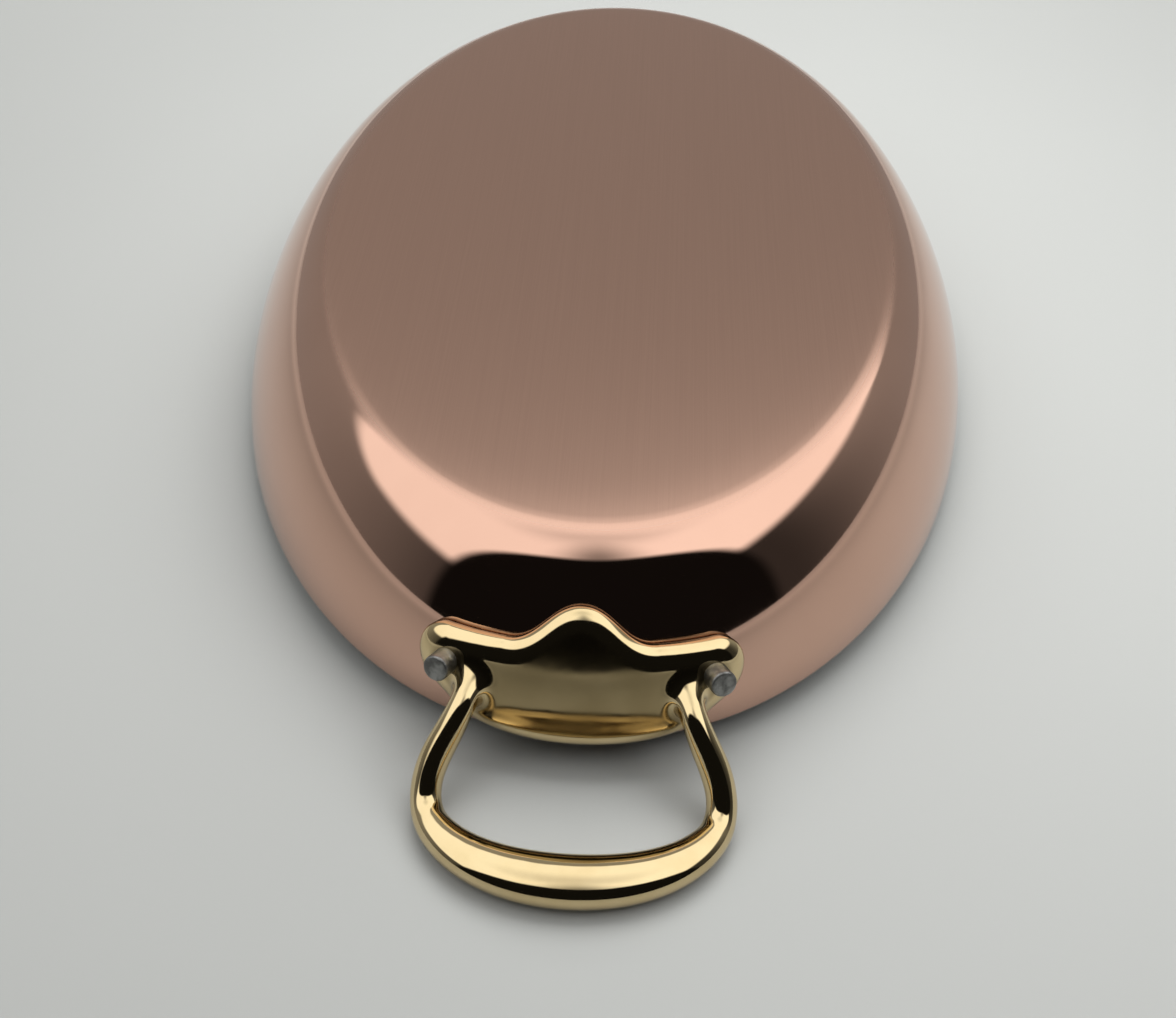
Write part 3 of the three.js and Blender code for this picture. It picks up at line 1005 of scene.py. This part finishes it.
def make_floor():
    """A round table top in the plane that the handle grips lie on."""
    turn = np.linspace(0, 2 * math.pi, FLOOR_STEPS, endpoint=False)
    across, along = FLOOR_RADIUS * np.cos(turn), FLOOR_RADIUS * np.sin(turn)
    ring = np.stack([across, along, np.full(FLOOR_STEPS, -RIM_LIFT)], axis=1)
    floor = add_mesh("floor", ring, [range(FLOOR_STEPS)])
    floor.data.materials.append(floor_material())


def make_world():
    """A white tent: bright above and at the sides, grey behind, with a dark opening on the near side."""
    world = bpy.data.worlds.new("tent")
    world.use_nodes = True
    bpy.context.scene.world = world
    g = Graph(world.node_tree)
    split = g.node("ShaderNodeSeparateXYZ")
    g.put(split.inputs[0], g.node("ShaderNodeTexCoord").outputs["Generated"])
    x, y, z = split.outputs
    rise = g.math("DEGREES", g.math("ARCSINE", z))
    turn = g.math("DEGREES", g.math("ARCTAN2", x, y))
    back = g.math("ABSOLUTE", turn)
    # Angle from the middle of the opening, which faces a little to one side.
    sine, cosine = math.sin(OPENING_MIDDLE), math.cos(OPENING_MIDDLE)
    ahead = g.math("ADD", g.math("MULTIPLY", x, sine), g.math("MULTIPLY", y, cosine))
    aside = g.math("SUBTRACT", g.math("MULTIPLY", x, cosine), g.math("MULTIPLY", y, sine))
    off = g.math("DEGREES", g.math("ABSOLUTE", g.math("ARCTAN2", aside, ahead)))
    wide = g.math("POWER", g.math("DIVIDE", off, OPENING_HALF_WIDTH), OPENING_SHARPNESS)
    high = g.math("DIVIDE", g.math("MAXIMUM", rise, 0.0), OPENING_TOP)
    high = g.math("POWER", high, OPENING_SHARPNESS)
    opening = g.fit(g.math("ADD", wide, high), *OPENING_EDGE)
    # The roof hangs lower at the sides than at the back.
    edge = g.math("MINIMUM", g.fit(turn, *ROOF_EDGE_RIGHT), g.fit(turn, *ROOF_EDGE_LEFT))
    soft = g.fit(back, *ROOF_SOFTNESS)
    roof = g.fit(g.math("DIVIDE", g.math("SUBTRACT", rise, edge), soft), -1.0, 1.0)
    # It is dimmer over the opening and at its top.
    dim = g.blend(g.fit(off, ROOF_SHADE_WIDTH, 0.0), 1.0, g.fit(rise, *ROOF_SHADE))
    dim = g.math("MULTIPLY", dim, g.fit(rise, *ROOF_TOP_SHADE))
    roof_light = g.math("MULTIPLY", g.math("MULTIPLY_ADD", x, ROOF_LIGHT_TO_RIGHT, ROOF_LIGHT), dim)
    fade_end = g.math("MULTIPLY_ADD", x, WALL_FADE_TO_RIGHT, WALL_FADE_END)
    wall_light = g.fit(back, WALL_FADE_START, fade_end, WALL_LIGHT, WALL_LIGHT_FRONT)
    light = g.blend(roof, wall_light, roof_light)
    light = g.blend(opening, light, OPENING_LIGHT)
    seen = g.node("ShaderNodeLightPath").outputs["Is Camera Ray"]
    light = g.blend(seen, light, SEEN_LIGHT)
    shader = g.node("ShaderNodeBackground")
    shader.inputs["Color"].default_value = TENT_COLOR
    g.put(shader.inputs["Strength"], light)
    output = g.node("ShaderNodeOutputWorld")
    g.put(output.inputs["Surface"], shader.outputs[0])


def make_lamp(name, across, along, power):
    """A square soft lamp that shines straight down."""
    lamp = bpy.data.lights.new(name, "AREA")
    lamp.size = LAMP_SIZE
    lamp.energy = power
    holder = bpy.data.objects.new(name, lamp)
    holder.location = (across, along, LAMP_HEIGHT)
    holder.visible_glossy = False
    holder.visible_camera = False
    bpy.context.scene.collection.objects.link(holder)


def make_camera():
    """The photograph's view: a standard lens above the near end, looking down along the dish."""
    level = math.cos(CAMERA_PITCH)
    ahead = Vector((math.sin(CAMERA_YAW) * level, math.cos(CAMERA_YAW) * level, -math.sin(CAMERA_PITCH)))
    right = Vector((math.cos(CAMERA_YAW), -math.sin(CAMERA_YAW), 0))
    above = right.cross(ahead)
    right_rolled = math.cos(CAMERA_ROLL) * right + math.sin(CAMERA_ROLL) * above
    above_rolled = math.cos(CAMERA_ROLL) * above - math.sin(CAMERA_ROLL) * right
    data = bpy.data.cameras.new("camera")
    data.sensor_width = SENSOR_WIDTH
    data.lens = LENS
    data.clip_start = NEAREST_SEEN
    holder = bpy.data.objects.new("camera", data)
    turn = Matrix((right_rolled, above_rolled, -ahead)).transposed().to_4x4()
    place = (Vector(CAMERA_PLACE) + Vector((0, 0, RIM_LIFT))) * MM
    holder.matrix_world = Matrix.Translation(place) @ turn
    bpy.context.scene.collection.objects.link(holder)
    bpy.context.scene.camera = holder


make_floor()
make_world()
for lamp_name, settings in LAMPS.items():
    make_lamp(lamp_name, *settings)
make_camera()
bpy.context.scene.view_settings.view_transform = "Standard"
